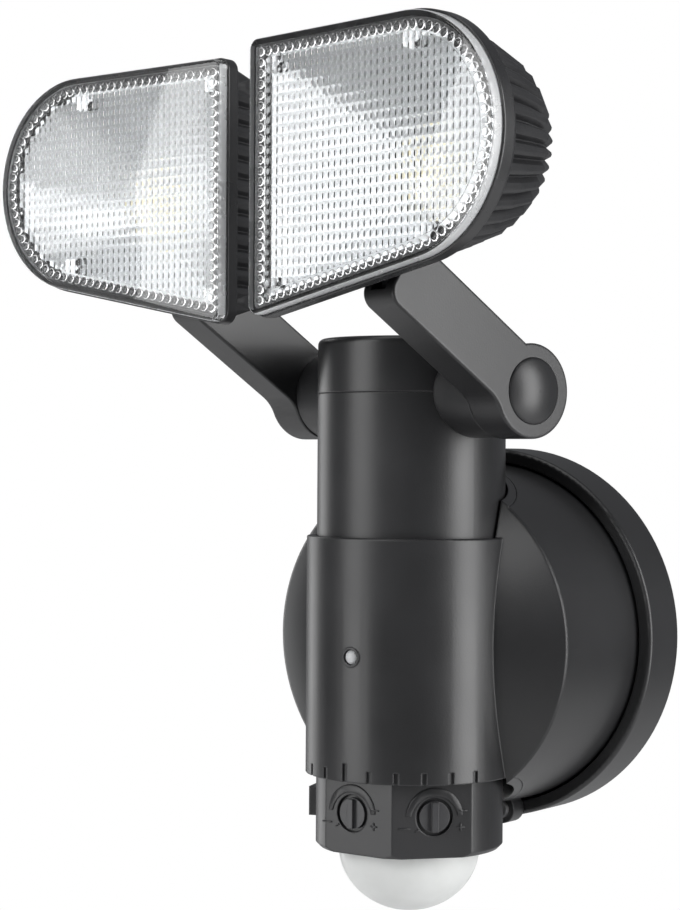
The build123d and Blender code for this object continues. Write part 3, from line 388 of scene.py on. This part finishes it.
def makeMaterial(name, finish):
    material = bpy.data.materials.new(name)
    material.use_nodes = True
    tree = material.node_tree
    tree.nodes.clear()
    shader = addNode(tree, "ShaderNodeBsdfPrincipled", (300, 0), finish["shader"])
    output = addNode(tree, "ShaderNodeOutputMaterial", (600, 0))
    feed(tree, shader, 0, output, "Surface")
    relief = mottle = addNode(tree, "ShaderNodeGroup", (-700, 0), {"Mottle Scale": finish["mottle"]},
                              node_tree=effects["grain"])
    if "lines" in finish:
        relief = addNode(tree, "ShaderNodeGroup", (-700, -300),
                         {"Scale": finish["lines"], "Stretch": finish["stretch"]}, node_tree=effects["lines"])
    else:
        mottle.inputs["Grain Scale"].default_value = finish["grain"]
    tones = mixTones(tree, (-400, 200), finish["colour"], finish["lift"])
    lowRough, highRough = finish["rough"]
    rough = addNode(tree, "ShaderNodeMapRange", (-400, 0), {"To Min": lowRough, "To Max": highRough})
    strength, depth = finish["bump"]
    bump = addNode(tree, "ShaderNodeBump", (-150, -250), {"Strength": strength, "Distance": depth})
    feed(tree, mottle, "Mottle", tones, "Factor")
    feed(tree, mottle, "Mottle", rough, "Value")
    feed(tree, relief, "Height", bump, "Height")
    # edges get the edge colour: a painted highlight, and on the boards their own edge tone
    if "edge" in finish:
        edges = addNode(tree, "ShaderNodeGroup", (-700, -300), {"Radius": finish["edge"]},
                        node_tree=effects["edges"])
        edgeToneAndHighlightMix = mixTones(tree, (-150, 200), finish["lift"], finish["edgeToneAndHighlight"])
        feed(tree, tones, "Result", edgeToneAndHighlightMix, "A")
        feed(tree, edges, "Edge", edgeToneAndHighlightMix, "Factor")
        feed(tree, edges, "Normal", bump, "Normal")
        tones = edgeToneAndHighlightMix
    feed(tree, tones, "Result", shader, "Base Color")
    feed(tree, rough, 0, shader, "Roughness")
    feed(tree, bump, 0, shader, "Normal")
    return material


materials = {name: makeMaterial(name, finish) for name, finish in finishes.items()}
print(len(materials), "finishes ready")


def dress(piece, slotName):
    piece.data.materials.clear()
    piece.data.materials.append(materials[slotName])


def dressNodes():
    for part in frame["record"]["subparts"]:
        finish = ownFinish.get(part["node"], part["material_slot"])
        for slot in nodes[part["node"]].material_slots:
            slot.material = materials[finish]


# Lamp head, in mm and degrees: x from the straight edge outwards, y rearwards from the lens seat,
# z up from the middle. The outline has a level top, a rising bottom and an arc that joins them.
head = {"halfHeight": 39.7, "length": 95.0, "taper": 10.8,
        "pinFromEdge": 32.5, "pinBehind": 28.0, "pinBelow": 30.0, "turnRight": -11.5, "turnLeft": -4.0,
        "arcSteps": 160, "flatAngle": 0.5}
taper = radians(head["taper"])
arcZ = (head["halfHeight"] * (1 - cos(taper)) + (head["length"] - head["halfHeight"]) * sin(taper))
arcZ = arcZ / (1 + cos(taper) - sin(taper))
arcRadius = head["halfHeight"] - arcZ
arcX = head["length"] - arcRadius


def lowCorner(inset):
    return -head["halfHeight"] + inset * (1 + sin(taper)) / cos(taper)


def insetOf(x, z):
    # distance inwards from the outline
    along, up = x - arcX, z - arcZ
    if (along if up > 0 else along * cos(taper) + up * sin(taper)) > 0:
        return arcRadius - (along ** 2 + up ** 2) ** 0.5
    return min(x, head["halfHeight"] - z, (z - lowCorner(0)) * cos(taper) - x * sin(taper))


def headPlace(side):
    word, turn = ("right", head["turnRight"]) if side > 0 else ("left", head["turnLeft"])
    pin = Vector(joints["head_tilt_" + word]["pos_m"])
    corner = Vector((-side * head["pinFromEdge"], -head["pinBehind"], head["pinBelow"])) * mm
    yaw = Matrix.Rotation(radians(turn), 4, "Z")
    flip = Matrix.Scale(side, 4, (1, 0, 0))
    return Matrix.Translation(pin) @ yaw @ Matrix.Translation(corner) @ flip


def onHeads(right, leftName):
    # sets the right head's piece in place, and a mirrored copy on the left head
    left = copyOf(right, leftName)
    moveMesh(right, headPlace(1))
    moveMesh(left, headPlace(-1))
    return (right, "right"), (left, "left")


def plateShape(name, inset, corner, front, rear):
    # D-shaped plate: three round posts and the hull round them
    arcSteps = head["arcSteps"]
    posts = [(arcX, arcZ, arcRadius - inset, arcSteps),
             (inset + corner, head["halfHeight"] - inset - corner, corner, arcSteps // 4),
             (inset + corner, lowCorner(inset + corner), corner, arcSteps // 4)]
    made = []
    for x, z, radius, count in posts:
        bpy.ops.mesh.primitive_cylinder_add(
            vertices=count, radius=radius * mm, depth=(rear - front) * mm,
            location=(x * mm, (front + rear) / 2 * mm, z * mm), rotation=(pi / 2, 0, 0))
        made.append(bpy.context.object)
    piece = freeze(joinPieces(made, name))
    bpy.ops.object.mode_set(mode="EDIT")
    bpy.ops.mesh.select_all(action="SELECT")
    bpy.ops.mesh.convex_hull()
    bpy.ops.mesh.dissolve_limited(angle_limit=radians(head["flatAngle"]))
    bpy.ops.mesh.normals_make_consistent(inside=False)
    bpy.ops.object.mode_set(mode="OBJECT")
    return piece


# Lens, in mm. Face is the inner side of its wall and valley the foot of the cells, which are pillows
# in the wall. The block of cells and the zone that trims it both run a little past the face.
lens = {"inset": 0.4, "wall": 1.8, "front": -3.4, "rear": 1.0, "face": -1.0, "valley": -1.5, "corner": 3.1,
        "edge": 0.9, "edgeSteps": 4, "rimBand": 0.3, "rimFacing": -0.8, "smoothAngle": 28,
        "cellWidth": 2.35, "cellHeight": 2.85, "bulge": 0.32, "cellSteps": 6, "cellMerge": 0.02,
        "gridInset": 6.1, "gridCorner": 2.0, "blockPast": 0.3, "zonePast": 0.2,
        "toothInset": 4.3, "toothPitch": 3.0, "toothHalf": (1.5, 0.8, 1.36)}


def raiseRings(piece, width, height):
    # lifts the cell's inner rings by odd shares, which gives a parabola
    rings = lens["cellSteps"] // 2
    for ring in reversed(range(rings)):
        reach = (ring + 0.3) / lens["cellSteps"]
        pick(piece, "vertices", lambda vertex: (abs(vertex.co.x) < reach * width
                                                and abs(vertex.co.z) < reach * height))
        lift = (2 * ring + 1) / rings ** 2 * (lens["bulge"] * mm)
        bpy.ops.transform.translate(value=(0, lift, 0))
        bpy.ops.object.mode_set(mode="OBJECT")


def lensletBlock():
    # one pillow-shaped cell, repeated both ways and closed to a block
    width, height = lens["cellWidth"] * mm, lens["cellHeight"] * mm
    bpy.ops.mesh.primitive_grid_add(x_subdivisions=lens["cellSteps"], y_subdivisions=lens["cellSteps"],
                                    size=1, location=(0, 0, 0))
    piece = named("lensletBlock")
    piece.scale = (width, height, 1)
    piece.rotation_euler = (pi / 2, 0, 0)
    freeze(piece)
    raiseRings(piece, width, height)
    columns = int(head["length"] / lens["cellWidth"]) + 1
    rows = int(2 * head["halfHeight"] / lens["cellHeight"]) + 1
    for count, step in ((columns, (width, 0, 0)), (rows, (0, 0, height))):
        array = piece.modifiers.new("rows", "ARRAY")
        array.count = count
        array.use_relative_offset = False
        array.use_constant_offset = True
        array.constant_offset_displace = step
        array.use_merge_vertices = True
        array.merge_threshold = lens["cellMerge"] * mm
    applyModifiers(piece)
    piece.location = (width / 2, lens["valley"] * mm, (0.5 - rows / 2) * height)
    freeze(piece)
    bpy.ops.object.mode_set(mode="EDIT")
    bpy.context.tool_settings.mesh_select_mode = (False, True, False)
    bpy.ops.mesh.select_all(action="DESELECT")
    bpy.ops.mesh.select_non_manifold(extend=False, use_wire=False, use_boundary=True,
                                     use_multi_face=False, use_non_contiguous=False, use_verts=False)
    depth = (lens["face"] - lens["valley"] + lens["blockPast"]) * mm
    bpy.ops.mesh.extrude_edges_move(TRANSFORM_OT_translate={"value": (0, depth, 0)})
    bpy.ops.mesh.edge_face_add()
    bpy.ops.mesh.select_all(action="SELECT")
    bpy.ops.mesh.normals_make_consistent(inside=False)
    bpy.ops.object.mode_set(mode="OBJECT")
    return piece


def outlineSpots(inset, pitch):
    # evenly spaced places along the D outline, each with the way outwards
    top, low = head["halfHeight"] - inset, lowCorner(inset)
    radius = arcRadius - inset
    lowEnd = (arcX + radius * sin(taper), arcZ - radius * cos(taper))
    edges = [((inset, low), (inset, top), pi),
             ((inset, top), (arcX, top), pi / 2),
             ((inset, low), lowEnd, taper - pi / 2)]
    spots = []
    for (x0, z0), (x1, z1), outward in edges:
        span = ((x1 - x0) ** 2 + (z1 - z0) ** 2) ** 0.5
        count = round(span / pitch)
        first, last = (0, count) if outward == pi else (1, count - 1)  # only the straight edge has its ends
        for index in range(first, last + 1):
            share = index / count
            spots.append((x0 + share * (x1 - x0), z0 + share * (z1 - z0), outward))
    sweep = pi - taper
    count = round(sweep * radius / pitch)
    for index in range(count + 1):
        angle = taper - pi / 2 + index * sweep / count
        spots.append((arcX + radius * cos(angle), arcZ + radius * sin(angle), angle))
    return spots


def borderTeeth():
    # small rounded prisms in a row round the lens, modelled once and copied
    bpy.ops.mesh.primitive_ico_sphere_add(subdivisions=2, radius=mm)
    tooth = named("tooth")
    tooth.scale = lens["toothHalf"]
    freeze(tooth)
    teeth = []
    for x, z, outward in outlineSpots(lens["toothInset"], lens["toothPitch"]):
        copy = copyOf(tooth, "tooth")
        spot = Matrix.Translation((x * mm, lens["face"] * mm, z * mm))
        moveMesh(copy, spot @ Matrix.Rotation(-outward, 4, "Y"))
        teeth.append(copy)
    bpy.data.objects.remove(tooth)
    return joinPieces(teeth, "borderTeeth")


def frostRim(piece):
    # the outer rim takes the frosted finish
    piece.data.materials.append(materials["lens_clear"])
    piece.data.materials.append(materials["lens_rim"])
    edge = lens["inset"] + lens["rimBand"]
    pick(piece, "polygons", lambda face: (face.normal.y > lens["rimFacing"]
                                          and insetOf(face.center.x / mm, face.center.z / mm) < edge))
    piece.active_material_index = 1
    bpy.ops.object.material_slot_assign()
    bpy.ops.object.mode_set(mode="OBJECT")


def makeLens():
    piece = plateShape("lensRight", lens["inset"], lens["corner"], lens["front"], lens["rear"])
    pick(piece, "polygons", lambda face: face.normal.y < -facingFront)
    bpy.ops.mesh.bevel(offset=lens["edge"] * mm, segments=lens["edgeSteps"], affect="EDGES")
    bpy.ops.object.mode_set(mode="OBJECT")
    hollow = plateShape("hollow", lens["inset"] + lens["wall"], lens["corner"] - lens["wall"],
                        lens["face"], lens["rear"] + overCut)
    boolean(piece, hollow, "DIFFERENCE")
    zone = plateShape("zone", lens["gridInset"], lens["gridCorner"],
                      lens["valley"] - overCut, lens["face"] + lens["zonePast"])
    lenslets = boolean(lensletBlock(), zone, "INTERSECT")
    boolean(piece, lenslets, "DIFFERENCE")
    boolean(piece, borderTeeth(), "UNION")
    smooth(piece, lens["smoothAngle"])
    frostRim(piece)
    return piece


def addLenses():
    for piece, word in onHeads(makeLens(), "lensLeft"):
        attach(piece, "head_" + word)
        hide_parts("clear_lens_" + word)
        print(piece.name, len(piece.data.polygons), "faces")


# bright rim of the reflector in front of the four screw bosses, in mm in the head's frame
caps = {"inset": 6.4, "radius": 3.65, "edgeInset": 4.65, "corner": 1.5, "front": 1.3, "rear": 1.57, "sides": 48}


def bossCaps():
    inset = caps["inset"]
    reach = arcRadius - inset
    spots = [(inset, head["halfHeight"] - inset), (inset, lowCorner(inset)), (arcX, arcZ + reach),
             (arcX + reach * sin(taper), arcZ - reach * cos(taper))]
    middle, depth = (caps["front"] + caps["rear"]) / 2, caps["rear"] - caps["front"]
    discs = []
    for x, z in spots:
        bpy.ops.mesh.primitive_cylinder_add(
            vertices=caps["sides"], radius=caps["radius"] * mm, depth=depth * mm,
            location=(x * mm, middle * mm, z * mm), rotation=(pi / 2, 0, 0))
        discs.append(bpy.context.object)
    piece = freeze(joinPieces(discs, "bossCapsRight"))
    inside = plateShape("inside", caps["edgeInset"], caps["corner"],
                        caps["front"] - overCut, caps["rear"] + overCut)
    return boolean(piece, inside, "INTERSECT")


def addBossCaps():
    for piece, word in onHeads(bossCaps(), "bossCapsLeft"):
        dress(piece, "reflector_chrome")
        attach(piece, "head_" + word)


# Marks round the two dials, raised on the sensor head's panels, in mm in the dial's frame:
# x to the right, y up, z outwards from the panel.
marks = {"height": 0.35, "round": 0.12, "sides": 96, "smoothAngle": 40,
         "crescentRadius": 8.8, "innerRadius": 7.4, "innerDrop": 1.1, "crescentLow": 0.4,
         "tickAt": (8.7, 1.7), "tickSize": (3.0, 0.5), "minusAt": (-9.4, -3.3), "minusSize": (3.6, 0.5),
         "plusAt": (8.2, -3.2), "signSize": (2.4, 0.5),
         "nickAt": (-5.4, -4.0), "nickSize": (1.5, 0.45), "nickTurn": 0.64}


def bar(place, size, turn=0.0):
    bpy.ops.mesh.primitive_cube_add(size=1, location=(place[0] * mm, place[1] * mm, 0), rotation=(0, 0, turn))
    piece = bpy.context.object
    piece.scale = (size[0] * mm, size[1] * mm, 2 * marks["height"] * mm)
    return freeze(piece)


def crescent():
    # a disc, less a smaller disc set lower, cut off below the dial's middle
    height = 2 * marks["height"] * mm
    bpy.ops.mesh.primitive_cylinder_add(vertices=marks["sides"], radius=marks["crescentRadius"] * mm,
                                        depth=height)
    piece = named("crescent")
    bpy.ops.mesh.primitive_cylinder_add(vertices=marks["sides"], radius=marks["innerRadius"] * mm,
                                        depth=2 * height, location=(0, -marks["innerDrop"] * mm, 0))
    boolean(piece, named("crescentTool"), "DIFFERENCE")
    takeHold(piece)
    bpy.ops.object.mode_set(mode="EDIT")
    bpy.ops.mesh.select_all(action="SELECT")
    bpy.ops.mesh.bisect(plane_co=(0, marks["crescentLow"] * mm, 0), plane_no=(0, -1, 0), use_fill=True,
                        clear_outer=True)
    bpy.ops.object.mode_set(mode="OBJECT")
    return piece


def dialMarks(name):
    length, width = marks["signSize"]
    upright = bar(marks["plusAt"], (width, length))
    plus = boolean(bar(marks["plusAt"], (length, width)), upright, "UNION")
    pieces = [crescent(), plus, bar(marks["minusAt"], marks["minusSize"]),
              bar(marks["tickAt"], marks["tickSize"]),
              bar(marks["nickAt"], marks["nickSize"], marks["nickTurn"])]
    piece = joinPieces(pieces, name)
    softEdges(piece, marks["round"] * mm)
    smooth(piece, marks["smoothAngle"])
    return piece


def dialPlace(joint):
    outward = Vector(joint["axis"]).normalized()
    up = Vector((0, 0, 1))
    across = up.cross(outward)
    turn = Matrix((across, up, outward)).transposed().to_4x4()
    return Matrix.Translation(joint["pos_m"]) @ turn


def addDialMarks():
    for name, jointName in (("lightDialMarks", "light_dial_turn"), ("timeDialMarks", "time_dial_turn")):
        piece = dialMarks(name)
        moveMesh(piece, dialPlace(joints[jointName]))
        dress(piece, "cover_plastic")
        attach(piece, "sensor")


addCamera()
addWorld()
addFloor()
addLamps()
print("studio ready")
dressNodes()
print("nodes dressed")
addLenses()
addBossCaps()
print("lenses ready")
addDialMarks()
print("dial marks ready")

bpy.context.scene.view_settings.view_transform = "Standard"
